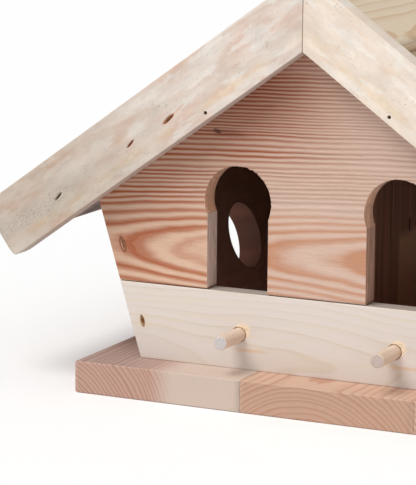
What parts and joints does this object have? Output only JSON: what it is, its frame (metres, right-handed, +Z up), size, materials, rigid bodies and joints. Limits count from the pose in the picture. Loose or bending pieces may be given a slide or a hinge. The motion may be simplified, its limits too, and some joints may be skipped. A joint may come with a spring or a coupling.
{
  "type": "hanging bird feeder",
  "caption": "House-shaped wooden hanging bird feeder with a gable roof, arched doorways above perch dowels, a round side hole and an overhanging board base.",
  "frame": {"origin": "on the underside of the base, under the middle of the feeder's overall box", "axes": "+Z up, the front with the doorways and perches faces -Y, +X to the right as seen from the front"},
  "size_m": [0.3942, 0.3212, 0.2504],
  "materials": {
    "larch_panel": "planed, unfinished",
    "larch_base": "planed, unfinished",
    "pine_board": "planed, unfinished",
    "pine_bargeboard": "rough planed, unfinished",
    "roof_board": "rough sawn, unfinished",
    "inner_board": "rough sawn, unfinished",
    "dowel": "turned, unfinished",
    "fastener_steel": "bright wire, slightly tarnished",
    "zinc_plated_steel": "zinc plated"
  },
  "bodies": {
    "root": {"barge_pin_front_left": "fastener_steel", "barge_pin_front_right": "fastener_steel", "barge_pin_rear_left": "fastener_steel", "barge_pin_rear_right": "fastener_steel", "barge_staple_front_left_low": "fastener_steel", "barge_staple_front_left_mid": "fastener_steel", "barge_staple_front_left_top": "fastener_steel", "barge_staple_front_right_low": "fastener_steel", "barge_staple_front_right_mid": "fastener_steel", "barge_staple_front_right_top": "fastener_steel", "barge_staple_rear_left_low": "fastener_steel", "barge_staple_rear_left_mid": "fastener_steel", "barge_staple_rear_right_low": "fastener_steel", "barge_staple_rear_right_mid": "fastener_steel", "bargeboard_front_left": "pine_bargeboard", "bargeboard_front_right": "pine_bargeboard", "bargeboard_rear_left": "pine_bargeboard", "bargeboard_rear_right": "pine_bargeboard", "base_board_centre": "larch_base", "base_board_left": "larch_base", "base_board_right": "larch_base", "base_staple_front_left": "fastener_steel", "base_staple_front_middle": "fastener_steel", "base_staple_front_right": "fastener_steel", "base_staple_rear_left": "fastener_steel", "base_staple_rear_middle": "fastener_steel", "base_staple_rear_right": "fastener_steel", "front_lower_board": "pine_board", "front_panel": "larch_panel", "left_wall": "inner_board", "panel_staple_front_left": "fastener_steel", "panel_staple_front_right": "fastener_steel", "panel_staple_rear_left": "fastener_steel", "panel_staple_rear_right": "fastener_steel", "partition_board_front": "inner_board", "partition_board_middle": "inner_board", "partition_board_rear": "inner_board", "perch_left": "dowel", "perch_right": "dowel", "rear_lower_board": "pine_board", "rear_panel": "larch_panel", "ridge_batten": "inner_board", "ridge_cap_left": "roof_board", "ridge_cap_right": "roof_board", "right_wall": "inner_board", "roof_lath_left": "roof_board", "roof_lath_right": "roof_board", "roof_lower_board_left": "roof_board", "roof_lower_board_right": "roof_board", "roof_upper_board_left": "roof_board", "roof_upper_board_right": "roof_board", "screw_eye_front": "zinc_plated_steel", "screw_eye_rear": "zinc_plated_steel", "sill_pin_front_left": "fastener_steel", "sill_pin_front_right": "fastener_steel", "sill_pin_rear_left": "fastener_steel", "sill_pin_rear_right": "fastener_steel"}
  },
  "joints": []
}
